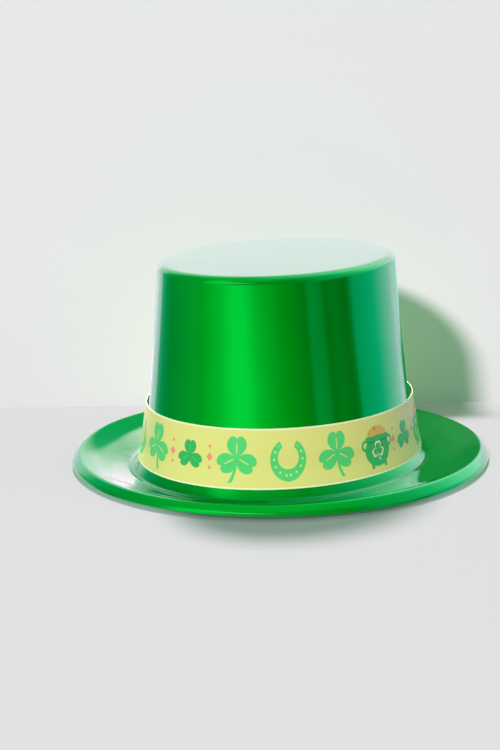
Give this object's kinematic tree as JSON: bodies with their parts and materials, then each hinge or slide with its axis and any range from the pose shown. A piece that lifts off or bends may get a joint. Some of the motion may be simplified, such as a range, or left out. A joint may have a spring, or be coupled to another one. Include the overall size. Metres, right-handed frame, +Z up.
{
  "type": "leprechaun hat",
  "caption": "Oval party top hat of thin glossy green formed plastic with a rolled brim lip and a loose printed card band round the foot of the crown.",
  "frame": {"origin": "centre of the plane that the ring at the foot of the cove rests on", "axes": "+Z up through the crown, -Y towards the wearer's front, +X towards the wearer's left"},
  "size_m": [0.256, 0.261, 0.127],
  "materials": {
    "green_plastic": "high gloss formed sheet with a metallic green colour and faint upright ripples",
    "band_card": "pale yellow coated card with a satin sheen and a printed row of shamrocks and pots of gold"
  },
  "bodies": {
    "root": {"hat_shell": "green_plastic", "hat_band": "band_card"}
  },
  "joints": []
}
